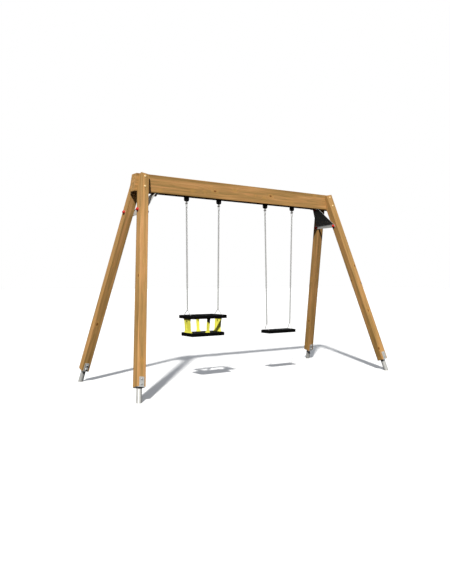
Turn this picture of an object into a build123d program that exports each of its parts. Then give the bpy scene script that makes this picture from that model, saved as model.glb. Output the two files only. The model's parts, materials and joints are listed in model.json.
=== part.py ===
from build123d import *
from math import asin, atan2, cos, degrees, radians, sin, sqrt, tan
import os

# A timber swing set: one beam on two leaning A-frames, with a cradle seat and a flat seat on chains.
# Millimetres and degrees. X runs along the beam, Y is the swinging direction, Z is up.
# The origin is on the ground, under the middle of the beam.

# --- timber frame -------------------------------------------------------------------------------
frame_height = 2393.0      # ground to the top of the beam
beam_height = 200.0
beam_thickness = 120.0
beam_overhang = 34.0       # beam past the outer faces of the legs, along its top
timber_round = 4.0         # rounded timber edges
leg_size = 95.0            # square leg
leg_lean = 9.86            # lean outwards, seen from the front
leg_splay = 16.45          # spread, seen from the end
leg_reach = 1427.0         # middle to leg centre line, at the height of the beam's top
leg_cheek = 43.5           # leg thickness left beside the beam, at the beam's top
leg_end_height = 147.5     # ground to the foot of the leg, on its centre line
leg_top_drop = 15.0        # top of the leg's centre line below the beam's top

# --- galvanised shoes ---------------------------------------------------------------------------
stem_diameter = 55.0
stem_wall = 4.0
saddle_plate = 6.0         # plate under the leg
saddle_inset = 5.0         # leg's inner and outer faces to the plate's edges
strap_width = 54.0
strap_height = 97.0
strap_thickness = 5.0
shoe_bolt_diameter = 10.0
shoe_bolt_spacing = 48.0
shoe_head_diameter = 22.0
shoe_head_height = 4.5
shoe_nut_diameter = 18.0
shoe_nut_height = 15.0

# --- bolts through legs and beam ----------------------------------------------------------------
beam_bolt_diameter = 12.0
beam_bolt_drops = (37.0, 154.0)   # below the beam's top
recess_diameter = 26.0
recess_depth = 20.0
washer_thickness = 2.5
head_height = 8.0
head_flats = 18.0          # M12 heads and nuts, across the flats
plug_stand_out = 7.0
hole_clearance = 0.4       # on the diameter
thin_gap = 0.3             # between pieces that lie loosely together

# --- corner brackets ----------------------------------------------------------------------------
bracket_plate = 5.0
bracket_drop = 230.0       # beam's underside to the middle of the lower flange
bracket_flange = 48.0      # height of the lower flange
bracket_flange_half = 190.0
bracket_bottom_half = 168.0
bracket_top_half = 52.0
bracket_top_reach = 1272.0 # where the sloping plate meets the beam
bracket_tab = 52.0         # length of the flange under the beam
bracket_bolt_diameter = 12.0
bracket_bolt_inset = 10.0  # leg centre line to the bolt, towards the middle of the A-frame
cap_diameter = 38.0
cap_height = 26.0
cap_pocket = 21.0          # hollow over the bolt's head
cap_washer_rim = 1.0       # washer showing round the cap
beam_screw_length = 70.0

# --- hangers ------------------------------------------------------------------------------------
swing_reach = 597.0        # middle of the beam to the middle of each swing
hanger_half = 231.5        # middle of a swing to its hangers
housing_width = 56.0
housing_depth = 46.0
housing_round = 12.0
pivot_drop = 33.0          # beam's underside to the swing's pivot
housing_slot = 16.0
housing_roof = 8.0
pin_diameter = 12.0
running_gap = 0.05         # radial, pin in bush
bush_diameter = 16.0
hub_diameter = 28.0
eye_drop = 44.0            # pivot to the centre of the lower eye
eye_thickness = 12.0
eye_wall = 6.5
side_gap = 0.5
hanger_bolt_diameter = 12.0
hanger_head_diameter = 15.0

# --- shackles, chains and bridles ---------------------------------------------------------------
shackle_rod = 7.5
shackle_width = 17.0       # clear width inside
shackle_length = 52.5      # pin centre to the rod at the bottom of the bow
shackle_pin = 8.0
ear_lip = 0.5              # the flattened ears stand this much past the rod on each side
pin_head = 4.0
chain_wire = 6.0
chain_pitch = 20.65
chain_width = 22.0         # outside width of a link
cradle_links = 59          # odd, so that the last link is turned like the first
flat_links = 69            # odd too
bridle_rod = 7.0
stub_neck = 8.0            # straight length of the bridle above the seat
stub_bend = 9.0
bridle_washer_diameter = 18.0
small_nut_flats = 13.0     # M7 and M8 nuts, across the flats

# --- cradle seat --------------------------------------------------------------------------------
cradle_chain_half = 220.0  # middle of the cradle to its chains, at the bridles
cradle_foot = 68.0         # middle of the cradle to the bridle's feet
cradle_rise = 57.0         # height of the sloping part of the bridle
ring_length = 495.0
ring_depth = 325.0
ring_height = 40.0
ring_bar = 50.0
ring_corner = 20.0
ring_edge = 8.0
seat_length = 465.0
seat_depth = 260.0
seat_height = 42.0
seat_corner = 16.0
seat_edge = 8.0
cradle_clear = 168.0       # top of the lower seat to the underside of the ring
panel_width = 132.0
panel_thickness = 12.0
panel_end_width = 142.0    # flared foot and head
panel_foot_depth = 22.0
panel_top_reach = 224.0    # middle of the cradle to the panel's centre, at its top
panel_bottom_reach = 209.0
bar_width = 42.0
bar_thickness = 12.0
bar_foot_width = 50.0
bar_foot_depth = 22.0
bar_top_reach = 125.0
bar_bottom_reach = 101.0
foot_thickness = 9.0
waist_share = 0.92         # waist to width of a panel or bar
flare_height = 34.0        # height over which its ends widen
groove_share = 0.40        # width of the pressed groove
groove_depth = 3.0
tongue_height = 42.0       # ring's tongues that hold the panels and bars
tongue_bolt_drop = 30.0    # ring's underside to the bolt through the tongue
tongue_width = 24.0
bar_tongue = 8.0           # thick, outside the bar
panel_tongue = 4.0         # thick, in a slot inside the panel
support_bolt_diameter = 8.0
support_head_diameter = 18.0
support_head_height = 5.0
support_nut_height = 6.5
foot_screw_diameter = 6.0
foot_screw_length = 26.0
screw_head_diameter = 12.0
screw_head_height = 3.5
screw_inset = 7.0          # end of the foot to the screw
core_width = 20.0
core_thickness = 8.0

# --- flat seat ----------------------------------------------------------------------------------
flat_chain_half = 198.5
flat_foot = 40.0
flat_rise = 89.0
flat_length = 460.0
flat_depth = 180.0
flat_height = 42.0
flat_corner = 16.0
flat_edge = 6.0
insert_inset = 22.0        # rubber around the steel insert
insert_corner = 8.0
insert_thickness = 5.0
nut_pocket_diameter = 22.0
nut_pocket_depth = 12.0
nut_height = 7.0

# --- worked out from the sizes above ------------------------------------------------------------
beam_underside = frame_height - beam_height
lean_slope = tan(radians(leg_lean))
splay_slope = tan(radians(leg_splay))
leg_axis = Vector(-lean_slope, -splay_slope, 1).normalized()
frame_normal = Vector(cos(radians(leg_lean)), 0, sin(radians(leg_lean)))
side_normal = leg_axis.cross(frame_normal)
side_half = leg_size / 2 / side_normal.Y          # leg centre line to its side faces, along Y
leg_axis_y_top = beam_thickness / 2 + leg_cheek - side_half
pivot_height = beam_underside - pivot_drop
eye_height = pivot_height - eye_drop
bow_height = eye_height - shackle_length          # rod centre at the bottom of the shackle
link_radius = (chain_width - chain_wire) / 2      # wire centre line of a link's round ends
link_drop = chain_pitch + thin_gap + chain_wire   # top wire centre to bottom wire centre
hook_rise = (shackle_rod + chain_wire) / 2 + thin_gap
bridle_bend = (bridle_rod + chain_wire) / 2 + thin_gap

os.makedirs("parts", exist_ok=True)


# === helpers ====================================================================================
def leg_point(height):
    """Where the centre line of the leg at +X, +Y is, at a given height."""
    below_top = frame_height - height
    return Vector(leg_reach + below_top * lean_slope, leg_axis_y_top + below_top * splay_slope, height)


def leg_plane(height):
    """Across the leg at +X, +Y: x points out of the A-frame, y out to the side, z up the leg."""
    return Plane(origin=leg_point(height), x_dir=frame_normal, z_dir=leg_axis)


def rod(start, end, diameter):
    start, end = Vector(*start), Vector(*end)
    plane = Plane(origin=start, z_dir=end - start)
    return extrude(plane * Circle(diameter / 2), (end - start).length)


def hexagon(start, end, flats):
    start, end = Vector(*start), Vector(*end)
    plane = Plane(origin=start, z_dir=end - start)
    return extrude(plane * RegularPolygon(flats / 2, 6, major_radius=False), (end - start).length)


def domed(start, direction, diameter, height, dome):
    """A round cap that stands on start, with its outer edge rounded by the dome radius."""
    solid = Cylinder(diameter / 2, height, align=(Align.CENTER, Align.CENTER, Align.MIN))
    top = solid.edges().filter_by(GeomType.CIRCLE).sort_by(Axis.Z)[-1]
    solid = fillet(top, dome)
    return Plane(origin=Vector(*start), z_dir=Vector(*direction)).location * solid


def washer(start, direction, outer, inner, thickness):
    plane = Plane(origin=Vector(*start), z_dir=Vector(*direction))
    return extrude(plane * (Circle(outer / 2) - Circle(inner / 2)), thickness)


def both_ends(shapes):
    """The same shapes at -X and +X."""
    return [mirror(s, about=Plane.YZ) for s in shapes] + list(shapes)


def four_corners(shapes):
    """The same shapes at all four legs, from those at +X, +Y."""
    return both_ends([mirror(s, about=Plane.XZ) for s in shapes] + list(shapes))


def write(name, *shapes):
    """One STEP file for a node; several separate solids are kept as one group."""
    solids = [solid for shape in shapes for solid in shape.solids()]
    body = solids[0] if len(solids) == 1 else Compound(children=solids)
    body.label = name
    export_step(body, f"parts/{name}.step")


def round_slab(length, depth, height, corner, edge):
    """A slab standing on Z = 0 with rounded corners and rounded top and bottom edges."""
    slab = extrude(RectangleRounded(length, depth, corner), height)
    rims = slab.faces().sort_by(Axis.Z)
    return fillet(rims[0].edges() + rims[-1].edges(), edge)


# === bolts between legs and beam ================================================================
def leg_outer_y(height):
    return leg_point(height).Y + side_half


beam_bolt_holes, beam_bolts, beam_bolt_nuts, beam_bolt_washers, beam_bolt_plugs = [], [], [], [], []
for drop in beam_bolt_drops:
    height = frame_height - drop
    bolt_x = leg_point(height).X
    face = leg_outer_y(height)
    seat = face - recess_depth
    under_head = seat + washer_thickness
    beam_bolt_holes.append(
        rod((bolt_x, -face, height), (bolt_x, face, height), beam_bolt_diameter + hole_clearance))
    for way in (-1, 1):
        beam_bolt_holes.append(
            rod((bolt_x, way * seat, height), (bolt_x, way * (face + recess_depth), height), recess_diameter))
        beam_bolt_washers.append(washer((bolt_x, way * seat, height), (0, way, 0),
                                        recess_diameter - 2, beam_bolt_diameter + hole_clearance,
                                        washer_thickness))
        beam_bolt_plugs.append(domed((bolt_x, way * (under_head + head_height), height), (0, way, 0),
                                     recess_diameter - hole_clearance,
                                     recess_depth - washer_thickness - head_height + plug_stand_out,
                                     plug_stand_out - 1))
    shank = rod((bolt_x, -under_head, height), (bolt_x, under_head + head_height, height),
                beam_bolt_diameter)
    head = hexagon((bolt_x, -under_head, height), (bolt_x, -under_head - head_height, height), head_flats)
    beam_bolts.append(shank + head)
    nut = hexagon((bolt_x, under_head, height), (bolt_x, under_head + head_height, height), head_flats)
    beam_bolt_nuts.append(nut - rod((bolt_x, 0, height), (bolt_x, 2 * face, height), beam_bolt_diameter))

# === beam =======================================================================================
beam_half_top = leg_reach + leg_size / 2 / cos(radians(leg_lean)) + beam_overhang
beam_half_bottom = beam_half_top + beam_height * lean_slope
beam_side = Plane.XZ * Polygon(
    (-beam_half_top, frame_height), (beam_half_top, frame_height),
    (beam_half_bottom, beam_underside), (-beam_half_bottom, beam_underside), align=None)
beam = extrude(beam_side, beam_thickness / 2, both=True)
beam = fillet(beam.edges().filter_by(Axis.X), timber_round)

hanger_places = [side * swing_reach + end * hanger_half for side in (-1, 1) for end in (-1, 1)]
for x in hanger_places:
    beam -= rod((x, 0, beam_underside), (x, 0, frame_height), hanger_bolt_diameter + hole_clearance)
    beam -= rod((x, 0, frame_height - recess_depth), (x, 0, frame_height + 1), recess_diameter)
bracket_screw_x = bracket_top_reach - bracket_tab / 2
beam -= both_ends([rod((bracket_screw_x, 0, beam_underside),
                       (bracket_screw_x, 0, beam_underside + beam_screw_length), bracket_bolt_diameter)])
beam -= both_ends(beam_bolt_holes)
write("beam", beam)

# === legs =======================================================================================
leg_length = (frame_height - leg_top_drop - leg_end_height) / leg_axis.Z
leg_foot = leg_plane(leg_end_height)
leg = Box(leg_size, leg_size, leg_length, align=(Align.CENTER, Align.CENTER, Align.MIN))
leg = fillet(leg.edges().filter_by(Axis.Z), timber_round)
leg = leg_foot.location * leg
leg -= Pos(leg_reach, 0, frame_height) * Box(4 * leg_size, beam_thickness, 4 * beam_height)
leg -= beam_bolt_holes

bracket_bolt_height = beam_underside - bracket_drop + leg_size / 2 * sin(radians(leg_lean))
bracket_bolt_plane = leg_plane(bracket_bolt_height)


def across_leg(start, end):
    """Two points on a line that crosses the leg at the bracket bolt, out of the A-frame."""
    return tuple(bracket_bolt_plane.from_local_coords(Vector(x, -bracket_bolt_inset, 0)) for x in (start, end))


leg -= rod(*across_leg(-leg_size, leg_size), bracket_bolt_diameter + hole_clearance)

shoe_bolt_rows = [strap_height / 2 + way * shoe_bolt_spacing / 2 for way in (-1, 1)]
for row in shoe_bolt_rows:
    hole = rod((0, -leg_size, row), (0, leg_size, row), shoe_bolt_diameter + hole_clearance)
    leg -= leg_foot.location * hole

leg_names = ("leg_front_left", "leg_back_left", "leg_front_right", "leg_back_right")
for name, solid in zip(leg_names, four_corners([leg])):
    write(name, solid)

# === shoes under the legs =======================================================================
stem_length = leg_end_height / leg_axis.Z + stem_diameter
saddle = Pos(0, 0, -saddle_plate / 2) * Box(
    leg_size - 2 * saddle_inset, leg_size + 2 * strap_thickness, saddle_plate)
straps = [Pos(0, way * (leg_size + strap_thickness) / 2, strap_height / 2)
          * Box(strap_width, strap_thickness, strap_height) for way in (-1, 1)]
tube = rod((0, 0, -saddle_plate), (0, 0, -stem_length), stem_diameter)
tube -= rod((0, 0, -saddle_plate), (0, 0, -stem_length), stem_diameter - 2 * stem_wall)
shoe = saddle + tube
for strap in straps:
    corners = strap.edges().filter_by(Axis.Y).group_by(Axis.Z)[-1]
    shoe += fillet(corners, strap_width / 8)
    shoe += Pos(0, strap.center().Y, -saddle_plate / 2) * Box(strap_width, strap_thickness, saddle_plate)
for row in shoe_bolt_rows:
    shoe -= rod((0, -leg_size, row), (0, leg_size, row), shoe_bolt_diameter + hole_clearance)
shoe = leg_foot.location * shoe
below_ground = Pos(leg_point(0)) * Box(2 * stem_length, 2 * stem_length, stem_length,
                                       align=(Align.CENTER, Align.CENTER, Align.MAX))
shoe -= below_ground
shoe_names = ("shoe_front_left", "shoe_back_left", "shoe_front_right", "shoe_back_right")
for name, solid in zip(shoe_names, four_corners([shoe])):
    write(name, solid)

strap_face = leg_size / 2 + strap_thickness
shoe_bolts, shoe_nuts = [], []
for row in shoe_bolt_rows:
    shank = rod((0, -strap_face - head_height, row), (0, strap_face, row), shoe_bolt_diameter)
    head = domed((0, strap_face, row), (0, 1, 0), shoe_head_diameter, shoe_head_height,
                 shoe_head_height - 0.5)
    shoe_bolts.append(leg_foot.location * (shank + head))
    nut = domed((0, -strap_face, row), (0, -1, 0), shoe_nut_diameter, shoe_nut_height,
                shoe_nut_diameter / 2 - 0.5)
    nut -= rod((0, -strap_face, row), (0, -strap_face - head_height, row), shoe_bolt_diameter)
    shoe_nuts.append(leg_foot.location * nut)
write("shoe_bolts", *four_corners(shoe_bolts))
write("shoe_dome_nuts", *four_corners(shoe_nuts))

# === corner brackets ============================================================================
def inner_face_x(height):
    """X of the legs' inner faces, at a given height."""
    return leg_point(height).X - leg_size / 2 / cos(radians(leg_lean))


flange_low = beam_underside - bracket_drop - bracket_flange / 2
flange_high = flange_low + bracket_flange
bend = (inner_face_x(flange_high), flange_high)
heel = (bracket_top_reach, beam_underside)
plate_angle = atan2(heel[1] - bend[1], bend[0] - heel[0])
normal_x = bracket_plate / cos(radians(leg_lean))
slope_x = bracket_plate / sin(plate_angle)
heel_inside = (heel[0] - slope_x + bracket_plate / tan(plate_angle), beam_underside - bracket_plate)
bend_inside_rise = (normal_x - slope_x) / (1 / tan(plate_angle) + lean_slope)
bend_inside = (bend[0] - normal_x - bend_inside_rise * lean_slope, flange_high + bend_inside_rise)
profile = Plane.XZ * Polygon(
    (inner_face_x(flange_low), flange_low), bend, heel,
    (heel[0] - bracket_tab, beam_underside), (heel[0] - bracket_tab, beam_underside - bracket_plate),
    heel_inside, bend_inside, (inner_face_x(flange_low) - normal_x, flange_low), align=None)
folded = extrude(profile, bracket_flange_half, both=True)
outline = Plane.YZ * Polygon(
    (-bracket_flange_half, flange_low), (bracket_flange_half, flange_low),
    (bracket_flange_half, flange_high), (bracket_bottom_half, flange_high),
    (bracket_top_half, beam_underside), (-bracket_top_half, beam_underside),
    (-bracket_bottom_half, flange_high), (-bracket_flange_half, flange_high), align=None)
bracket = folded & extrude(outline, 2 * leg_reach)
bolt_line = across_leg(-leg_size, leg_size)
for way in (-1, 1):
    hole = rod(*bolt_line, bracket_bolt_diameter + hole_clearance)
    bracket -= hole if way > 0 else mirror(hole, about=Plane.XZ)
bracket -= rod((bracket_screw_x, 0, beam_underside - bracket_tab), (bracket_screw_x, 0, beam_underside),
               bracket_bolt_diameter + hole_clearance)
write("corner_bracket_right", bracket)
write("corner_bracket_left", mirror(bracket, about=Plane.YZ))

flange_face = -leg_size / 2 - bracket_plate
inner_under_head = flange_face - washer_thickness
outer_under_nut = leg_size / 2 + washer_thickness
out_of_frame = frame_normal
into_frame = -frame_normal


def red_cap(start, direction):
    """A snap-on cover over a hexagon head, hollow underneath, standing on the washer."""
    cap = domed(start, direction, cap_diameter, cap_height, cap_diameter / 2 - 1.5)
    plane = Plane(origin=Vector(*start), z_dir=Vector(*direction))
    return cap - extrude(plane * Circle(cap_pocket / 2), head_height + 2)


shank = rod(*across_leg(inner_under_head, outer_under_nut + head_height), bracket_bolt_diameter)
head = hexagon(*across_leg(inner_under_head, inner_under_head - head_height), head_flats)
bracket_bolt = shank + head
bracket_nut = hexagon(*across_leg(outer_under_nut, outer_under_nut + head_height), head_flats)
bracket_nut -= rod(*across_leg(0, 2 * leg_size), bracket_bolt_diameter)
cap_washers = [
    washer(across_leg(flange_face, 0)[0], into_frame, cap_diameter + 2 * cap_washer_rim,
           bracket_bolt_diameter + hole_clearance, washer_thickness),
    washer(across_leg(leg_size / 2, 0)[0], out_of_frame, cap_diameter + 2 * cap_washer_rim,
           bracket_bolt_diameter + hole_clearance, washer_thickness)]
caps = [red_cap(across_leg(inner_under_head, 0)[0], into_frame),
        red_cap(across_leg(outer_under_nut, 0)[0], out_of_frame)]

tab_face = beam_underside - bracket_plate
screw_seat = tab_face - washer_thickness
beam_screw = rod((bracket_screw_x, 0, screw_seat),
                 (bracket_screw_x, 0, beam_underside + beam_screw_length), bracket_bolt_diameter)
beam_screw += hexagon((bracket_screw_x, 0, screw_seat), (bracket_screw_x, 0, screw_seat - head_height),
                      head_flats)
beam_washer = washer((bracket_screw_x, 0, tab_face), (0, 0, -1), cap_diameter + 2 * cap_washer_rim,
                     bracket_bolt_diameter + hole_clearance, washer_thickness)
beam_cap = red_cap((bracket_screw_x, 0, screw_seat), (0, 0, -1))
write("bracket_leg_bolts", *four_corners([bracket_bolt]))
write("bracket_leg_nuts", *four_corners([bracket_nut]))
write("bracket_beam_screws", *both_ends([beam_screw]))
write("bracket_washers", *four_corners(cap_washers), *both_ends([beam_washer]))
write("red_bolt_caps", *four_corners(caps), *both_ends([beam_cap]))

write("beam_bolts", *both_ends(beam_bolts))
write("beam_bolt_nuts", *both_ends(beam_bolt_nuts))
write("beam_bolt_washers", *both_ends(beam_bolt_washers))
write("beam_bolt_plugs", *both_ends(beam_bolt_plugs))


# === hangers: one built at X = 0 with the beam's underside at its real height, then copied =======
housing_side = Plane.YZ * (Pos(0, pivot_height) * Circle(housing_depth / 2)
                           + Pos(0, (pivot_height + beam_underside) / 2) * Rectangle(housing_depth, pivot_drop))
housing = extrude(housing_side, housing_width / 2, both=True)
end_rims = housing.faces().filter_by(Axis.X).edges()
low_rims = [e for e in end_rims if e.center().Z < beam_underside - 1]
housing = fillet(low_rims, housing_round)
slot_height = housing_depth + pivot_drop
housing -= Pos(0, 0, beam_underside - housing_roof - slot_height / 2) * Box(
    housing_slot, 2 * housing_depth, slot_height)
housing -= rod((-housing_width, 0, pivot_height), (housing_width, 0, pivot_height), pin_diameter)
housing -= rod((0, 0, pivot_height), (0, 0, frame_height), hanger_bolt_diameter + hole_clearance)

pin_half = housing_width / 2 - 1.5
hanger_pin = rod((-pin_half, 0, pivot_height), (pin_half, 0, pivot_height), pin_diameter)
roof = beam_underside - housing_roof
nut_seat = frame_height - recess_depth
hanger_nut_base = nut_seat + washer_thickness
hanger_bolt = rod((0, 0, roof), (0, 0, hanger_nut_base + head_height), hanger_bolt_diameter)
hanger_bolt += rod((0, 0, roof), (0, 0, roof - head_height + 1), hanger_head_diameter)
hanger_washer = washer((0, 0, nut_seat), (0, 0, 1), recess_diameter - 2,
                       hanger_bolt_diameter + hole_clearance, washer_thickness)
hanger_nut = hexagon((0, 0, hanger_nut_base), (0, 0, hanger_nut_base + head_height), head_flats)
hanger_nut -= rod((0, 0, nut_seat), (0, 0, frame_height), hanger_bolt_diameter)
for name, solid in (("hanger_housings", housing), ("hanger_pins", hanger_pin), ("hanger_bolts", hanger_bolt),
                    ("hanger_washers", hanger_washer), ("hanger_nuts", hanger_nut)):
    write(name, *[Pos(x, 0, 0) * solid for x in hanger_places])

# === swivel eye, bush, shackle and its pin, at X = 0 =============================================
hub_width = housing_slot - 2 * side_gap
hub_ends = ((-hub_width / 2, 0, pivot_height), (hub_width / 2, 0, pivot_height))
bush = rod(*hub_ends, bush_diameter) - rod(*hub_ends, pin_diameter + 2 * running_gap)
eye_hole = shackle_pin + 1.0
eye_ends = ((0, -eye_thickness / 2, eye_height), (0, eye_thickness / 2, eye_height))
swivel_eye = rod(*hub_ends, hub_diameter)
swivel_eye += Pos(0, 0, (pivot_height + eye_height) / 2) * Box(hub_width, eye_thickness, eye_drop)
swivel_eye += rod(*eye_ends, eye_hole + 2 * eye_wall)
swivel_eye -= rod(*hub_ends, bush_diameter)
swivel_eye -= rod(*eye_ends, eye_hole)

bow_radius = (shackle_width + shackle_rod) / 2
bow_centre = bow_height + bow_radius
bow_path = (Line((0, -bow_radius, eye_height), (0, -bow_radius, bow_centre))
            + ThreePointArc((0, -bow_radius, bow_centre), (0, 0, bow_height), (0, bow_radius, bow_centre))
            + Line((0, bow_radius, bow_centre), (0, bow_radius, eye_height)))
bow_start = Plane(origin=(0, -bow_radius, eye_height), z_dir=(0, 0, -1))
shackle = sweep(bow_start * Circle(shackle_rod / 2), path=bow_path)
ear_reach = bow_radius + shackle_rod / 2 + ear_lip
for way in (-1, 1):
    shackle += rod((0, way * (shackle_width / 2 - ear_lip), eye_height), (0, way * ear_reach, eye_height),
                   2.2 * shackle_pin)
shackle -= rod((0, -2 * ear_reach, eye_height), (0, 2 * ear_reach, eye_height), shackle_pin)
shackle_bolt = rod((0, -ear_reach, eye_height), (0, ear_reach, eye_height), shackle_pin)
for way in (-1, 1):
    shackle_bolt += rod((0, way * ear_reach, eye_height), (0, way * (ear_reach + pin_head), eye_height),
                        1.6 * shackle_pin)

# === chains =====================================================================================
link_straight = link_drop - 2 * link_radius
link_face = Plane.XZ * SlotCenterToCenter(link_straight, 2 * link_radius, rotation=90)
link_path = link_face.faces()[0].outer_wire()
link_start = Plane(origin=(link_radius, 0, 0), z_dir=(0, 0, 1))
link = sweep(link_start * Circle(chain_wire / 2), path=link_path)


def chain_drop(links):
    """Straight distance from the shackle's rod to the lowest wire centre of the chain."""
    return links * chain_pitch - chain_pitch + link_drop - hook_rise


def chain(top_x, bottom_x, links):
    """A taut chain from the shackle at top_x; every second link is turned a quarter."""
    tilt = degrees(asin((bottom_x - top_x) / chain_drop(links)))
    hung = Pos(top_x, 0, bow_height) * Rot(0, -tilt, 0)
    solids = []
    for number in range(links):
        middle = hook_rise - number * chain_pitch - link_drop / 2
        solids.append(hung * Pos(0, 0, middle) * Rot(0, 0, 90 * (number % 2)) * link)
    return solids


def chain_end_height(top_x, bottom_x, links):
    return bow_height - sqrt(chain_drop(links) ** 2 - (bottom_x - top_x) ** 2)


def bridle(x, pivot_z, foot, rise, stub):
    """A bent rod hooked through the last link, with two threaded stubs down through the seat.

    Its top bend is round the pivot, so that it turns on the link's wire."""
    slope = atan2(foot, rise)
    peak = pivot_z + bridle_bend / sin(slope)
    foot_z = peak - rise
    path = FilletPolyline((x, -foot, foot_z - stub), (x, -foot, foot_z), (x, 0, peak),
                          (x, foot, foot_z), (x, foot, foot_z - stub),
                          radius=[stub_bend, bridle_bend, stub_bend])
    start = Plane(origin=(x, -foot, foot_z - stub), z_dir=(0, 0, 1))
    return sweep(start * Circle(bridle_rod / 2), path=path), foot_z - stub_neck


def hang_swing(name, middle, chain_half, links):
    """The hubs, bushes, shackles and chains of one swing, and the height of its seat's pivot."""
    for node, solid in (("swivel_eyes", swivel_eye), ("pivot_bushes", bush),
                        ("shackles", shackle), ("shackle_pins", shackle_bolt)):
        write(f"{name}_{node}", *[Pos(middle + way * hanger_half, 0, 0) * solid for way in (-1, 1)])
    for side, way in (("left", -1), ("right", 1)):
        top_x = middle + way * hanger_half
        write(f"{name}_chain_{side}", *chain(top_x, middle + way * chain_half, links))
    return chain_end_height(hanger_half, chain_half, links)


def seat_bridles(name, middle, chain_half, pivot_z, foot, rise, thickness):
    """Bridles with washers and nuts in the pockets under a seat part of the given thickness."""
    stub = stub_neck + thickness - nut_pocket_depth + washer_thickness + nut_height
    rods, washers, nuts, holes = [], [], [], []
    for way in (-1, 1):
        x = middle + way * chain_half
        bent, seat_top = bridle(x, pivot_z, foot, rise, stub)
        rods.append(bent)
        pocket_roof = seat_top - thickness + nut_pocket_depth
        for y in (-foot, foot):
            holes.append(rod((x, y, seat_top + 1), (x, y, pocket_roof), bridle_rod + hole_clearance))
            holes.append(rod((x, y, pocket_roof), (x, y, seat_top - thickness - 1), nut_pocket_diameter))
            washers.append(washer((x, y, pocket_roof), (0, 0, -1), bridle_washer_diameter,
                                  bridle_rod + hole_clearance, washer_thickness))
            nut_top = pocket_roof - washer_thickness
            nut = hexagon((x, y, nut_top), (x, y, nut_top - nut_height), small_nut_flats)
            nuts.append(nut - rod((x, y, nut_top + 1), (x, y, nut_top - nut_height - 1), bridle_rod))
    write(f"{name}_bridles", *rods)
    write(f"{name}_bridle_washers", *washers)
    write(f"{name}_bridle_nuts", *nuts)
    return seat_top, holes


# === cradle seat ================================================================================
cradle_middle = -swing_reach
cradle_pivot = hang_swing("cradle", cradle_middle, cradle_chain_half, cradle_links)
ring_top, ring_holes = seat_bridles("cradle", cradle_middle, cradle_chain_half, cradle_pivot,
                                    cradle_foot, cradle_rise, ring_height)
ring_bottom = ring_top - ring_height
seat_top = ring_bottom - cradle_clear


def support(width, thickness, foot_width, head_width, foot_depth, top_reach, bottom_reach, tongue_outside):
    """A leaning support from the seat's top at Z = 0 to the ring, facing +X, with a flared foot.

    Also returns the tongue of the ring that holds it, in a slot inside it or outside it, its top
    bolt and nut and its two foot screws."""
    height = cradle_clear
    lean = atan2(top_reach - bottom_reach, height)
    half = thickness / 2 / cos(lean)
    foot_out = bottom_reach + foot_depth / 2
    foot_in = bottom_reach - foot_depth / 2

    def centre(z):
        return bottom_reach + z * tan(lean)

    def leaning(low, high, inner, outer):
        """A strip of the side view that leans with the support, between two offsets from its middle."""
        return Plane.XZ * Polygon((centre(low) + inner, low), (centre(low) + outer, low),
                                  (centre(high) + outer, high), (centre(high) + inner, high), align=None)

    side = Plane.XZ * Polygon(
        (foot_in, 0), (foot_out, 0), (foot_out, foot_thickness),
        (centre(2 * foot_thickness) + half, 2 * foot_thickness), (centre(height) + half, height),
        (centre(height) - half, height), (centre(2 * foot_thickness) - half, 2 * foot_thickness),
        (foot_in, foot_thickness), align=None)
    waist = width / 2 * waist_share
    right_edge = [(foot_width / 2, 0), (foot_width / 2, foot_thickness), (waist, flare_height),
                  (waist, height - flare_height), (head_width / 2, height)]
    front = Plane.YZ * Polygon(*right_edge, *[(-y, z) for y, z in reversed(right_edge)], align=None)
    body = extrude(side, foot_width / 2, both=True) & extrude(front, 2 * top_reach)

    outward = Vector(cos(lean), 0, -sin(lean))
    bolt_z = height - tongue_bolt_drop
    bolt_mid = Vector(centre(bolt_z), 0, bolt_z)
    groove_low, groove_high = flare_height, bolt_z - support_head_diameter
    groove_mid = (groove_low + groove_high) / 2
    groove = SlotOverall(groove_high - groove_low, width * groove_share, rotation=90)
    for way in (-1, 1):
        groove_plane = Plane(origin=Vector(centre(groove_mid), 0, groove_mid)
                             + outward * (way * (thickness / 2 - groove_depth)),
                             x_dir=(0, 1, 0), z_dir=outward * way)
        body -= extrude(groove_plane * groove, thickness)

    tongue_thickness = bar_tongue if tongue_outside else panel_tongue
    tongue_half = tongue_thickness / 2 / cos(lean)
    tongue_inner = half if tongue_outside else -tongue_half
    tongue = extrude(leaning(height - tongue_height, height, tongue_inner, tongue_inner + 2 * tongue_half),
                     tongue_width / 2, both=True)
    body -= tongue

    back = bolt_mid - outward * (thickness / 2)
    face = bolt_mid + outward * (thickness / 2 + (tongue_thickness if tongue_outside else 0))
    nut_end = back - outward * support_nut_height
    top_hole = rod(nut_end, face + outward * thickness, support_bolt_diameter + hole_clearance)
    body -= top_hole
    tongue -= top_hole
    bolt = rod(nut_end, face, support_bolt_diameter)
    bolt += domed(face, outward, support_head_diameter, support_head_height, support_head_height - 1)
    nut = hexagon(back, nut_end, small_nut_flats)
    nut -= rod(back, nut_end, support_bolt_diameter)

    screws = []
    screw_y = foot_width / 2 - screw_inset
    for y in (-screw_y, screw_y):
        shank = rod((bottom_reach, y, foot_thickness), (bottom_reach, y, foot_thickness - foot_screw_length),
                    foot_screw_diameter)
        screws.append(shank + domed((bottom_reach, y, foot_thickness), (0, 0, 1), screw_head_diameter,
                                    screw_head_height, screw_head_height - 0.5))
        body -= rod((bottom_reach, y, 0), (bottom_reach, y, flare_height), foot_screw_diameter)
        body -= rod((bottom_reach, y, foot_thickness), (bottom_reach, y, 2 * flare_height),
                    screw_head_diameter + 1)
    return body, tongue, bolt, nut, screws


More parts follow.
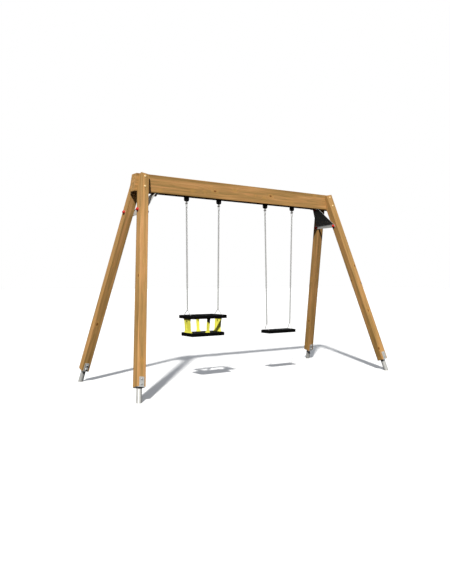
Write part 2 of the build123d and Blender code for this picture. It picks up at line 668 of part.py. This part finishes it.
panel = support(panel_width, panel_thickness, panel_end_width, panel_end_width, panel_foot_depth,
                panel_top_reach, panel_bottom_reach, tongue_outside=False)
bar = support(bar_width, bar_thickness, bar_foot_width, bar_width, bar_foot_depth,
              bar_top_reach, bar_bottom_reach, tongue_outside=True)
on_seat = Pos(cradle_middle, 0, seat_top)
panel_places = [on_seat * Rot(0, 0, turn) for turn in (0, 180)]
bar_places = [on_seat * Rot(0, 0, turn) for turn in (-90, 90)]


def placed(index):
    """One kind of piece of the four supports, in place."""
    pairs = [(panel, place) for place in panel_places] + [(bar, place) for place in bar_places]
    pieces = []
    for made, place in pairs:
        item = made[index]
        pieces += [place * one for one in (item if isinstance(item, list) else [item])]
    return pieces


inner_corner = max(ring_corner - ring_bar, ring_bar / 3)
ring = extrude(RectangleRounded(ring_length, ring_depth, ring_corner)
               - RectangleRounded(ring_length - 2 * ring_bar, ring_depth - 2 * ring_bar, inner_corner),
               ring_height)
rims = ring.faces().sort_by(Axis.Z)
ring = fillet(rims[0].edges() + rims[-1].edges(), ring_edge)
ring = Pos(cradle_middle, 0, ring_bottom) * ring
core_reach = ring_bar / 2 - core_width / 2
core_outer = (ring_length - 2 * core_reach, ring_depth - 2 * core_reach)
core = extrude(Rectangle(*core_outer) - Rectangle(*[size - 2 * core_width for size in core_outer]),
               core_thickness)
core = Pos(cradle_middle, 0, ring_bottom + ring_height / 2) * core
ring -= core
for tongue in placed(1):
    ring += tongue
ring -= ring_holes
core -= ring_holes
write("cradle_top_ring", ring)
write("cradle_ring_core", core)
write("cradle_end_panels", *placed(0)[:2])
write("cradle_front_back_bars", *placed(0)[2:])
write("cradle_top_bolts", *placed(2))
write("cradle_top_nuts", *placed(3))
write("cradle_foot_screws", *placed(4))

lower_seat = Pos(cradle_middle, 0, seat_top - seat_height) * round_slab(
    seat_length, seat_depth, seat_height, seat_corner, seat_edge)
seat_plate = Pos(cradle_middle, 0, seat_top - seat_height / 2 - insert_thickness / 2) * extrude(
    RectangleRounded(seat_length - 2 * insert_inset, seat_depth - 2 * insert_inset,
                     insert_corner), insert_thickness)
lower_seat -= seat_plate
for screw in placed(4):
    lower_seat -= screw
    seat_plate -= screw
write("cradle_lower_seat", lower_seat)
write("cradle_seat_plate", seat_plate)

# === flat seat ==================================================================================
flat_middle = swing_reach
flat_pivot = hang_swing("flat", flat_middle, flat_chain_half, flat_links)
flat_top, flat_holes = seat_bridles("flat", flat_middle, flat_chain_half, flat_pivot,
                                    flat_foot, flat_rise, flat_height)
flat_seat = Pos(flat_middle, 0, flat_top - flat_height) * round_slab(
    flat_length, flat_depth, flat_height, flat_corner, flat_edge)
flat_plate = Pos(flat_middle, 0, flat_top - flat_height / 2) * extrude(
    RectangleRounded(flat_length - 2 * insert_inset, flat_depth - 2 * insert_inset,
                     insert_corner), insert_thickness)
flat_seat -= flat_plate
flat_seat -= flat_holes
flat_plate -= flat_holes
write("flat_seat_pad", flat_seat)
write("flat_seat_plate", flat_plate)

print(f"pivots: swings {pivot_height:.1f}, cradle {cradle_pivot:.2f}, flat seat {flat_pivot:.2f}")
print(f"ring top {ring_top:.1f}, cradle seat top {seat_top:.1f}, flat seat top {flat_top:.1f}")
print(f"legs {leg_length:.1f} long, beam {2 * beam_half_bottom:.1f} long at its underside")
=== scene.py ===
# %% [markdown]
# # A timber swing set
# Two leaning A-frames carry a beam, and the beam carries two swings on chains: a cradle seat in
# a cage for a small child, and a flat seat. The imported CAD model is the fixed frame, and none of
# its pieces is moved. Blender adds what a drawing leaves out: the grain and knots of pine, the
# spangle of hot-dip zinc, real chain links, and the softened edges of folded and moulded parts.

# %% Load the frame
import json
import math
import bpy
import bmesh
import numpy as np
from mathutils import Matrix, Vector


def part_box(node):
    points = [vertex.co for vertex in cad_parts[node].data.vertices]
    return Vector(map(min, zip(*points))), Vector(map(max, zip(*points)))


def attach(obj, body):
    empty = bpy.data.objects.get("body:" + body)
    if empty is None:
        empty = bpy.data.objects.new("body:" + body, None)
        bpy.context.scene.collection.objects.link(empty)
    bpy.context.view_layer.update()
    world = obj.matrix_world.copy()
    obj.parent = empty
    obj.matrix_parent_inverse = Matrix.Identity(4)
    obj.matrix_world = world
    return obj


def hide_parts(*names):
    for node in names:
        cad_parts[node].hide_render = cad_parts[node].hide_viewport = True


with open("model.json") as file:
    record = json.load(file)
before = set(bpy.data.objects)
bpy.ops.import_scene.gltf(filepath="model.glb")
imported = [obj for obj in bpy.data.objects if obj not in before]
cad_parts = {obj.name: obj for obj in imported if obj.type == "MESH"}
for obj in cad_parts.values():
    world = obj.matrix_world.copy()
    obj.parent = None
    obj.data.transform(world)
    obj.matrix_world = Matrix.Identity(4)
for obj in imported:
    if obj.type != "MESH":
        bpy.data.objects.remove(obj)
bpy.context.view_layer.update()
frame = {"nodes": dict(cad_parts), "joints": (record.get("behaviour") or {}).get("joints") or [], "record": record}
MM = 0.001
cad_nodes = frame["nodes"]
record = frame["record"]
joint_at = {joint["name"]: Vector(joint["pos_m"]) for joint in frame["joints"]}

# %% [markdown]
# ## Camera
# The set is seen from the front left, at chest height, so that the beam runs away to the right
# and both seats hang clear below it. A camera is easiest to aim with two angles: a turn from
# straight ahead, and a small tilt down from level.

# %% Camera
view_turn, view_tilt_down = 35.29, 0.667
lens = bpy.data.cameras.new("camera")
lens.lens = 36.55
camera = bpy.data.objects.new("camera", lens)
bpy.context.collection.objects.link(camera)
camera.location = (-4.463, -5.922, 1.189)
camera.rotation_euler = (math.radians(90 - view_tilt_down), 0, math.radians(-view_turn))
bpy.context.scene.camera = camera
bpy.context.scene.view_settings.view_transform = "Standard"
bpy.context.view_layer.update()
print("camera at", tuple(camera.location))

# %% [markdown]
# ## Two helpers for colours and nodes
# A colour picker gives sRGB values, and a shader wants linear ones, so one function turns a hex
# colour into a linear one. Materials and geometry are trees of nodes, and every node in this
# file is added by the same small function.

# %% Helpers
def linear(code):
    """A hex colour such as #BE915A as linear red, green, blue and alpha."""
    parts = [int(code[i:i + 2], 16) / 255 for i in (1, 3, 5)]
    return tuple(c / 12.92 if c <= 0.04045 else ((c + 0.055) / 1.055) ** 2.4 for c in parts) + (1.0,)


def add(tree, kind, *values, **named):
    """Adds a node. Plain values and sockets fill its inputs in order, and None leaves one alone.
    A name with a capital is the input with that label, stops are a ramp's places and hex colours,
    and any other name is one of the node's own settings."""
    node = tree.nodes.new(kind)
    wanted = dict(enumerate(values))
    for name, value in named.items():
        if name == "stops":
            while len(node.color_ramp.elements) < len(value):
                node.color_ramp.elements.new(1.0)
            for stop, (place, code) in zip(node.color_ramp.elements, value):
                stop.position, stop.color = place, linear(code)
        elif name[0].isupper():
            wanted[name.replace("_", " ")] = value
        else:
            setattr(node, name, value)
    for place, value in wanted.items():
        if isinstance(value, bpy.types.NodeSocket):
            tree.links.new(value, node.inputs[place])
        elif value is not None:
            node.inputs[place].default_value = value
    return node


# %% [markdown]
# ## Light and floor
# One key light from the front left models every face of the timber and throws the shadows that
# tie the feet to the ground. A broad, weak light from behind keeps the far side readable. The sky
# is white to the eye, but it lights and is mirrored gently from above and hardly at all from
# below, and the floor throws no light back, so that the undersides of the beam and of the
# brackets stay dark.

# %% Lights
def sunlight(name, travels, strength, softness, colour):
    light = bpy.data.lights.new(name, "SUN")
    light.energy, light.angle, light.color = strength, math.radians(softness), linear(colour)[:3]
    lamp = bpy.data.objects.new(name, light)
    lamp.rotation_euler = Vector(travels).to_track_quat("-Z", "Y").to_euler()
    bpy.context.collection.objects.link(lamp)


sunlight("key_light", (0.80, 0.85, -1.0), 5.8, 3.0, "#FFFDF9")
sunlight("back_light", (-0.70, -0.55, -0.75), 0.8, 70.0, "#F6F9FF")

world = bpy.data.worlds.new("sky")
bpy.context.scene.world = world
world.use_nodes = True
sky = world.node_tree
sky.nodes.clear()
mirror_strength = 0.45
up = add(sky, "ShaderNodeSeparateXYZ", add(sky, "ShaderNodeTexCoord").outputs["Generated"]).outputs["Z"]
height = add(sky, "ShaderNodeMapRange", up, -0.10, 0.35, 0.0, 1.0).outputs[0]
gentle = add(sky, "ShaderNodeValToRGB", height, stops=[(0.0, "#1A1917"), (1.0, "#8E9298")]).outputs[0]
ray = add(sky, "ShaderNodeLightPath").outputs
mirrored = add(sky, "ShaderNodeMath", ray["Is Glossy Ray"], height, operation="MULTIPLY").outputs[0]
mirrored = add(sky, "ShaderNodeMath", mirrored, mirror_strength, operation="MULTIPLY").outputs[0]
seen = add(sky, "ShaderNodeMath", ray["Is Camera Ray"], mirrored, operation="MAXIMUM").outputs[0]
glow = add(sky, "ShaderNodeMix", seen, *[None] * 5, gentle, linear("#FFFFFF"), data_type="RGBA")
add(sky, "ShaderNodeOutputWorld", add(sky, "ShaderNodeBackground", glow.outputs[2], 1.0).outputs[0])
print("two lights and a sky")

# %% Floor
reach = 80.0
floor_mesh = bpy.data.meshes.new("floor")
floor_mesh.from_pydata([(-reach, -reach, 0), (reach, -reach, 0), (reach, reach, 0), (-reach, reach, 0)],
                       [], [(0, 1, 2, 3)])
floor = bpy.data.objects.new("floor", floor_mesh)
bpy.context.collection.objects.link(floor)
floor.visible_diffuse = floor.visible_glossy = False
print("a floor", 2 * reach, "m square")


# %% An empty material
def begin(name):
    material = bpy.data.materials.new(name)
    material.use_nodes = True
    material.node_tree.nodes.clear()
    return material, material.node_tree


# %% Pale swept concrete, with grit drawn 8 mm across, coarser than the real grains
concrete, tree = begin("pale_concrete")
grit = add(tree, "ShaderNodeTexNoise", add(tree, "ShaderNodeTexCoord").outputs["Object"],
           Scale=1 / (8 * MM), Detail=4.0)
shade = add(tree, "ShaderNodeValToRGB", grit.outputs["Fac"], stops=[(0.3, "#DEDEDE"), (0.7, "#E6E6E6")])
matt = add(tree, "ShaderNodeBsdfPrincipled", shade.outputs[0], Roughness=0.9, Specular_IOR_Level=0.1)
add(tree, "ShaderNodeOutputMaterial", matt.outputs[0])
floor.data.materials.append(concrete)
print("the floor is", concrete.name)

# %% [markdown]
# ## Oiled pine
# A square timber is sawn round the heart of a young tree, so its growth rings are circles about
# a line near its middle. Where that line wanders, the rings break out of a face as long tongues,
# and where a branch grew they swerve round a knot. So the pattern is built as the tree grew:
# distance from the heart gives the rings, slow noise makes the heart wander, and scattered knots
# push the rings aside. Real rings are about 4 mm apart, too fine to show here, so they are drawn
# 15 mm apart. Streaks and fibres are noise that is stretched along the timber.

# %% Oiled pine
def pine(name, node, seed):
    """Pine for one timber: the pattern's X runs along it, from the middle of its section."""
    points = np.array([v.co for v in cad_nodes[node].data.vertices])
    middle = Vector((points.max(axis=0) + points.min(axis=0)) / 2)
    along = Vector(np.linalg.svd(points - points.mean(axis=0), full_matrices=False)[2][0])
    turn = along.rotation_difference(Vector((1, 0, 0)))
    start = Vector((seed * 3.1, 0, 0)) - turn @ middle
    material, tree = begin(name)
    place = add(tree, "ShaderNodeTexCoord").outputs["Object"]
    grain = add(tree, "ShaderNodeMapping", place, Location=start, Rotation=turn.to_euler()).outputs[0]

    # knots: about one for every 0.4 m of timber, 25 mm across, drawn out a little along the grain
    along_cells, across_cells, drawn_out = 2.4, 12.0, 0.62
    cells = add(tree, "ShaderNodeVectorMath", grain, (along_cells, across_cells, across_cells),
                operation="MULTIPLY").outputs[0]
    nearest = add(tree, "ShaderNodeTexVoronoi", cells, Scale=1.0)
    away = add(tree, "ShaderNodeVectorMath", cells, nearest.outputs["Position"],
               operation="SUBTRACT").outputs[0]
    metres = add(tree, "ShaderNodeVectorMath", away,
                 (drawn_out / along_cells, 1 / across_cells, 1 / across_cells),
                 operation="MULTIPLY").outputs[0]
    far = add(tree, "ShaderNodeVectorMath", metres, operation="LENGTH").outputs["Value"]
    knot = add(tree, "ShaderNodeMapRange", far, 9 * MM, 15 * MM, 1.0, 0.0).outputs[0]
    swerve = add(tree, "ShaderNodeMapRange", far, 8 * MM, 45 * MM, 1.0, 0.0,
                 interpolation_type="SMOOTHERSTEP").outputs[0]

    # rings about the heart, which wanders 20 mm or so in every metre
    slow = add(tree, "ShaderNodeVectorMath", grain, (1.3, 5.0, 5.0), operation="MULTIPLY").outputs[0]
    drift = add(tree, "ShaderNodeTexNoise", slow, Scale=1.0, Detail=2.0).outputs["Color"]
    drift = add(tree, "ShaderNodeVectorMath", drift, (0.0, 0.085, 0.085), (0.0, -0.03, -0.055),
                operation="MULTIPLY_ADD").outputs[0]
    flat = add(tree, "ShaderNodeVectorMath", grain, (0.0, 1.0, 1.0), drift,
               operation="MULTIPLY_ADD").outputs[0]
    radius = add(tree, "ShaderNodeVectorMath", flat, operation="LENGTH").outputs["Value"]
    rings = add(tree, "ShaderNodeMath", radius, 1 / (15 * MM),
                add(tree, "ShaderNodeMath", swerve, 1.3, operation="MULTIPLY").outputs[0],
                operation="MULTIPLY_ADD").outputs[0]
    year = add(tree, "ShaderNodeMath", rings, operation="FRACT").outputs[0]
    late = add(tree, "ShaderNodeValToRGB", year, stops=[
        (0.0, "#5A5A5A"), (0.10, "#000000"), (0.45, "#1E1E1E"), (0.90, "#E0E0E0"),
        (1.0, "#5A5A5A")]).outputs[0]

    # streaks of tone, 30 mm wide and most of a metre long, and fibres, drawn 4 mm wide
    wide = add(tree, "ShaderNodeVectorMath", grain, (1.1, 30.0, 30.0), operation="MULTIPLY").outputs[0]
    streak = add(tree, "ShaderNodeTexNoise", wide, Scale=1.0, Detail=3.0, Roughness=0.6).outputs["Fac"]
    thin = add(tree, "ShaderNodeVectorMath", grain, (9.0, 240.0, 240.0), operation="MULTIPLY").outputs[0]
    fibre = add(tree, "ShaderNodeTexNoise", thin, Scale=1.0, Detail=3.0, Roughness=0.65).outputs["Fac"]

    tone = add(tree, "ShaderNodeValToRGB", streak, stops=[
        (0.28, "#AA7C40"), (0.44, "#C0995B"), (0.58, "#CCA867"), (0.72, "#D8BB7C")]).outputs[0]
    fibres = add(tree, "ShaderNodeValToRGB", fibre, stops=[(0.3, "#6E6E6E"), (0.7, "#929292")]).outputs[0]

    # late wood, fibres, the warmer wood round a knot and the knot, laid over the tone in turn
    layers = ((0.34, late, linear("#9D6F35"), "MIX"), (0.75, 1.0, fibres, "OVERLAY"),
              (0.35, swerve, linear("#BB8C46"), "MIX"), (0.85, knot, linear("#6A3E16"), "MIX"))
    colour = tone
    for strength, share, top, blend in layers:
        share = add(tree, "ShaderNodeMath", share, strength, operation="MULTIPLY").outputs[0]
        colour = add(tree, "ShaderNodeMix", share, *[None] * 5, colour, top, data_type="RGBA",
                     blend_type=blend).outputs[2]
    relief = add(tree, "ShaderNodeBump", None, 0.3 * MM, Height=fibre)
    wood = add(tree, "ShaderNodeBsdfPrincipled", colour, Roughness=0.6, Specular_IOR_Level=0.3,
               Normal=relief.outputs[0])
    add(tree, "ShaderNodeOutputMaterial", wood.outputs[0])
    print(name, "grain runs along", [round(v, 2) for v in along])
    return material


TIMBERS = ("beam", "leg_front_left", "leg_back_left", "leg_front_right", "leg_back_right")
finish_of = {node: pine(f"oiled_pine_{node}", node, 1 + number) for number, node in enumerate(TIMBERS)}


# %% [markdown]
# ## Zinc, steel and bronze
# Dipped in molten zinc, steel takes a matt grey skin with a faint patchwork of crystals, the
# spangle, 5 to 10 mm across. It has weathered to an oxide that scatters light, so the skin is only
# partly metallic. Chain is rougher, and each joint where its links touch is darkened with painted
# shade, laid on by ambient occlusion. Bright zinc plate on nuts and bolts is smoother and shines more.

# %% Metals
def metal(name, dark, light, patch, metallic, roughness, shade_reach=None):
    """A metal skin with crystals a few millimetres across, slow clouds over them, and perhaps painted
    shade in whatever lies within so many millimetres of a neighbour."""
    material, tree = begin(name)
    place = add(tree, "ShaderNodeTexCoord").outputs["Object"]
    crystals = add(tree, "ShaderNodeTexVoronoi", place, Scale=1 / (patch * MM)).outputs["Color"]
    clouds = add(tree, "ShaderNodeTexNoise", place, Scale=1 / (50 * MM), Detail=3.0).outputs["Fac"]
    mottle = add(tree, "ShaderNodeMath", add(tree, "ShaderNodeSeparateColor", crystals).outputs[0], 0.4,
                 add(tree, "ShaderNodeMath", clouds, 0.6, operation="MULTIPLY").outputs[0],
                 operation="MULTIPLY_ADD").outputs[0]
    colour = add(tree, "ShaderNodeValToRGB", mottle, stops=[(0.25, dark), (0.75, light)]).outputs[0]
    if shade_reach:
        # painted shade: where ambient occlusion finds a neighbour within the given reach, the colour goes towards
        # #1C1B19
        open_share = add(tree, "ShaderNodeAmbientOcclusion", Distance=shade_reach * MM).outputs["AO"]
        painted_shade = add(tree, "ShaderNodeMapRange", open_share, 0.35, 0.75, 0.9, 0.0).outputs[0]
        colour = add(tree, "ShaderNodeMix", painted_shade, *[None] * 5, colour, linear("#1C1B19"),
                     data_type="RGBA").outputs[2]
    relief = add(tree, "ShaderNodeBump", None, 0.1 * MM, Height=mottle)
    skin = add(tree, "ShaderNodeBsdfPrincipled", colour, Metallic=metallic, Roughness=roughness,
               Normal=relief.outputs[0])
    add(tree, "ShaderNodeOutputMaterial", skin.outputs[0])
    return material


slot_finish = {
    "galvanised_steel": metal("hot_dip_galvanised_steel", "#A3A3A1", "#B6B6B2", 7, 0.25, 0.5),
    "galvanised_fittings": metal("galvanised_fittings", "#929290", "#B4B3B0", 4, 0.5, 0.42),
    # the chain's last figure, 9, is how far the painted shade in its joints reaches, in millimetres
    "chain_steel": metal("galvanised_chain", "#828280", "#B6B6B3", 3, 0.35, 0.4, 9),
    "zinc_fasteners": metal("bright_zinc_plate", "#A9A9A7", "#C6C5C2", 3, 0.7, 0.3),
    "core_steel": metal("plain_steel", "#7C7C7A", "#9A9A98", 3, 0.9, 0.45),
    "bronze": metal("sintered_bronze", "#8E6532", "#B98A4A", 2, 1.0, 0.45)}


# %% [markdown]
# ## Plastics and rubber
# Moulded parts take the skin of their mould: a fine orange peel on the glossy ones, a dry, dull
# grain on rubber. Carbon black makes the rubber nearly black in any light. The yellow cage is
# rotation-moulded polyethylene, which is waxy, takes the light softly, and gets pale rubs.

# %% Moulded finishes
def moulded(name, dark, light, roughness, peel, depth, rub=None, specular=0.5):
    """A moulded plastic or rubber, with slow clouds of tone, a fine skin and perhaps pale rubs."""
    material, tree = begin(name)
    place = add(tree, "ShaderNodeTexCoord").outputs["Object"]
    clouds = add(tree, "ShaderNodeTexNoise", place, Scale=1 / (45 * MM), Detail=2.0).outputs["Fac"]
    colour = add(tree, "ShaderNodeValToRGB", clouds, stops=[(0.35, dark), (0.65, light)]).outputs[0]
    if rub:
        marks = add(tree, "ShaderNodeTexNoise", place, Scale=1 / (9 * MM), Detail=6.0,
                    Roughness=0.7).outputs["Fac"]
        worn = add(tree, "ShaderNodeMapRange", marks, 0.58, 0.80, 0.0, 0.35).outputs[0]
        colour = add(tree, "ShaderNodeMix", worn, *[None] * 5, colour, linear(rub),
                     data_type="RGBA").outputs[2]
    peel_noise = add(tree, "ShaderNodeTexNoise", place, Scale=1 / (peel * MM), Detail=2.0).outputs["Fac"]
    relief = add(tree, "ShaderNodeBump", 0.6, depth * MM, Height=peel_noise)
    skin = add(tree, "ShaderNodeBsdfPrincipled", colour, Roughness=roughness, Specular_IOR_Level=specular,
               Normal=relief.outputs[0])
    add(tree, "ShaderNodeOutputMaterial", skin.outputs[0])
    return material


slot_finish |= {
    "black_rubber": moulded("moulded_rubber", "#040404", "#070707", 0.8, 1.6, 0.15, "#101010", 0.05),
    "black_nylon": moulded("glass_filled_nylon", "#040404", "#080808", 0.55, 0.9, 0.05, None, 0.12),
    "yellow_plastic": moulded("yellow_polyethylene", "#D8D34A", "#E2DD58", 0.45, 2.0, 0.08, "#E8E59C", 0.3),
    "red_plastic": moulded("red_polypropylene", "#A81A0C", "#B82212", 0.4, 1.2, 0.04, None, 0.25),
    "tan_plastic": moulded("tan_polypropylene", "#D9BC86", "#E4CA98", 0.5, 1.2, 0.04),
    "dark_bolts": moulded("black_coated_steel", "#0B0A09", "#161412", 0.4, 0.8, 0.03)}

# %% Give every CAD piece its finish
slot_of = {part["node"]: part["material_slot"] for part in record["subparts"]}
for node, cad in cad_nodes.items():
    finish_of.setdefault(node, slot_finish.get(slot_of[node]))
    for slot in cad.material_slots:
        slot.material = finish_of[node]
print(len(finish_of), "pieces have a finish")


# %% [markdown]
# ## Softened copies
# No folded, dipped or moulded part has a razor edge, and the small radius on a real one catches
# the light as a fine bright line. The CAD mesh is loose triangles, so a copy is welded, its flat
# faces are joined up again, and a Bevel modifier rounds the sharp edges that are left. Weighted
# normals then keep the big faces looking flat.

# %% Softened copies
def link(name, mesh):
    made = bpy.data.objects.new(name, mesh)
    bpy.context.collection.objects.link(made)
    return made


def baked(made):
    """Puts what the modifiers make into the mesh, and removes them."""
    bpy.context.view_layer.update()
    shape = made.evaluated_get(bpy.context.evaluated_depsgraph_get())
    mesh = bpy.data.meshes.new_from_object(shape)
    made.modifiers.clear()
    made.data = mesh
    return made


body_of = {node: body for body, names in record["behaviour"]["bodies"].items() for node in names}


def stand_in(piece, node):
    """The piece takes the place of a CAD node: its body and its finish."""
    piece.data.materials.clear()
    piece.data.materials.append(finish_of[node])
    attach(piece, body_of[node])
    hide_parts(node)


def softened(node, radius, rounds=3):
    mesh = cad_nodes[node].data.copy()
    work = bmesh.new()
    work.from_mesh(mesh)
    bmesh.ops.remove_doubles(work, verts=work.verts, dist=0.02 * MM)
    bmesh.ops.dissolve_limit(work, angle_limit=math.radians(1.0), verts=work.verts, edges=work.edges)
    for face in work.faces:
        face.smooth = True
    work.to_mesh(mesh)
    work.free()
    made = link(f"{node}_softened", mesh)
    bevel = made.modifiers.new("edges", "BEVEL")
    bevel.width, bevel.segments = radius * MM, rounds
    bevel.limit_method, bevel.angle_limit = "ANGLE", math.radians(35)
    weigh = made.modifiers.new("normals", "WEIGHTED_NORMAL")
    weigh.keep_sharp = True
    return baked(made)


EDGES = {"cradle_end_panels": 2.0, "cradle_front_back_bars": 2.0, "cradle_top_ring": 1.5,
         "cradle_lower_seat": 1.5, "flat_seat_pad": 1.5, "hanger_housings": 1.0,
         "corner_bracket_left": 0.8, "corner_bracket_right": 0.8, "shoe_front_left": 0.8,
         "shoe_back_left": 0.8, "shoe_front_right": 0.8, "shoe_back_right": 0.8}
for node, radius in EDGES.items():
    piece = softened(node, radius)
    stand_in(piece, node)
    print(piece.name, len(piece.data.polygons), "faces")

# %% [markdown]
# ## Chains
# Short-link chain is one welded link, repeated, with each turned a quarter from the last. That is
# what Geometry Nodes are for. A circle is stretched into a link's centre line, a wire is run
# along it, points are set one pitch apart, and a quarter turn goes to every second link. The tree
# asks for its sizes by name, so the same one hangs all four chains.

# %% Chain tree
WIRE, PITCH, LINK_WIDTH, PLAY = 6.0 * MM, 20.65 * MM, 22.0 * MM, 0.3 * MM
HOOK_ROD, EYE_HALF, BRIDLE_HALF = 7.5 * MM, 11.0 * MM, 3.5 * MM
LINK_DROP = PITCH + PLAY + WIRE
HOOK_RISE = (HOOK_ROD + WIRE) / 2 + PLAY

chain_tree = bpy.data.node_groups.new("short_link_chain", "GeometryNodeTree")
chain_tree.interface.new_socket(name="Chain", in_out="OUTPUT", socket_type="NodeSocketGeometry")
for label, kind in (("Links", "Int"), ("Pitch", "Float"), ("Wire", "Float"), ("Width", "Float"),
                    ("Drop", "Float"), ("Rise", "Float"), ("Hook", "Vector"), ("Tilt", "Float"),
                    ("Finish", "Material")):
    chain_tree.interface.new_socket(name=label, in_out="INPUT", socket_type="NodeSocket" + kind)
size = chain_tree.nodes.new("NodeGroupInput").outputs

half_wire = add(chain_tree, "ShaderNodeMath", size["Wire"], 0.5, operation="MULTIPLY").outputs[0]
round_end = add(chain_tree, "ShaderNodeMath", size["Width"], 0.5, half_wire, operation="MULTIPLY_ADD")
round_end = add(chain_tree, "ShaderNodeMath", round_end.outputs[0], size["Wire"],
                operation="SUBTRACT").outputs[0]
half_side = add(chain_tree, "ShaderNodeMath", size["Drop"], 0.5, operation="MULTIPLY").outputs[0]
half_side = add(chain_tree, "ShaderNodeMath", half_side, round_end, operation="SUBTRACT").outputs[0]
circle = add(chain_tree, "GeometryNodeCurvePrimitiveCircle", 24, Radius=round_end).outputs[0]
spot = add(chain_tree, "ShaderNodeSeparateXYZ",
           add(chain_tree, "GeometryNodeInputPosition").outputs[0]).outputs["Y"]
upper = add(chain_tree, "ShaderNodeMath", spot, operation="SIGN").outputs[0]
shift = add(chain_tree, "ShaderNodeCombineXYZ", 0.0,
            add(chain_tree, "ShaderNodeMath", upper, half_side, operation="MULTIPLY").outputs[0], 0.0)
centre_line = add(chain_tree, "GeometryNodeSetPosition", circle, Offset=shift.outputs[0]).outputs[0]
wire = add(chain_tree, "GeometryNodeCurvePrimitiveCircle", 10, Radius=half_wire).outputs[0]
one_link = add(chain_tree, "GeometryNodeCurveToMesh", centre_line, wire).outputs[0]
upright = add(chain_tree, "GeometryNodeTransform", one_link, Rotation=(math.pi / 2, 0.0, 0.0)).outputs[0]
print("one link asks for", [name for name in size.keys() if name])

# %% Hang the links one below the other
first_z = add(chain_tree, "ShaderNodeMath", size["Drop"], -0.5, size["Rise"], operation="MULTIPLY_ADD")
down = add(chain_tree, "ShaderNodeMath", size["Pitch"], -1.0, operation="MULTIPLY")
line = add(chain_tree, "GeometryNodeMeshLine", size["Links"],
           Start_Location=add(chain_tree, "ShaderNodeCombineXYZ", 0.0, 0.0, first_z.outputs[0]).outputs[0],
           Offset=add(chain_tree, "ShaderNodeCombineXYZ", 0.0, 0.0, down.outputs[0]).outputs[0]).outputs[0]
odd = add(chain_tree, "ShaderNodeMath", add(chain_tree, "GeometryNodeInputIndex").outputs[0], 2.0,
          operation="MODULO").outputs[0]
quarter = add(chain_tree, "ShaderNodeMath", odd, math.pi / 2, operation="MULTIPLY").outputs[0]
hung = add(chain_tree, "GeometryNodeInstanceOnPoints", line, Instance=upright,
           Rotation=add(chain_tree, "ShaderNodeCombineXYZ", 0.0, 0.0, quarter).outputs[0]).outputs[0]
real = add(chain_tree, "GeometryNodeRealizeInstances", hung).outputs[0]
placed = add(chain_tree, "GeometryNodeTransform", real, Translation=size["Hook"],
             Rotation=add(chain_tree, "ShaderNodeCombineXYZ", 0.0, size["Tilt"], 0.0).outputs[0]).outputs[0]
smooth = add(chain_tree, "GeometryNodeSetShadeSmooth", placed).outputs[0]
dressed = add(chain_tree, "GeometryNodeSetMaterial", smooth, Material=size["Finish"]).outputs[0]
chain_tree.links.new(dressed, chain_tree.nodes.new("NodeGroupOutput").inputs[0])
print("the chain tree has", len(chain_tree.nodes), "nodes")

# %% [markdown]
# ## Hang the four chains
# A chain starts on the shackle's bow and ends on the wire that the seat's bridle turns on. Both
# points come from the CAD: the bow from the shackles' box, the end from the seat's joint. The
# number of links is the straight distance between them, in pitches.

# %% Four chains
sockets = {item.name: item.identifier for item in chain_tree.interface.items_tree if item.in_out == "INPUT"}
for swing in ("cradle", "flat"):
    eyes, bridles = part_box(f"{swing}_swivel_eyes"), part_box(f"{swing}_bridles")
    bow_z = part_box(f"{swing}_shackles")[0][2] + HOOK_ROD / 2
    end_z = joint_at[f"{swing}_seat_rock"].z
    for side, edge, inward in (("left", 0, 1), ("right", 1, -1)):
        hook = Vector((eyes[edge][0] + inward * EYE_HALF, 0, bow_z))
        end = Vector((bridles[edge][0] + inward * BRIDLE_HALF, 0, end_z))
        links = round(((end - hook).length + HOOK_RISE - LINK_DROP) / PITCH) + 1
        piece = link(f"{swing}_{side}_chain_links", bpy.data.meshes.new("links"))
        growth = piece.modifiers.new("links", "NODES")
        growth.node_group = chain_tree
        for label, value in (("Links", links), ("Pitch", PITCH), ("Wire", WIRE), ("Width", LINK_WIDTH),
                             ("Drop", LINK_DROP), ("Rise", HOOK_RISE), ("Hook", hook),
                             ("Tilt", -math.asin((end.x - hook.x) / (end - hook).length)),
                             ("Finish", slot_finish["chain_steel"])):
            growth[sockets[label]] = value
        baked(piece)
        node = f"{swing}_chain_{side}"
        stand_in(piece, node)
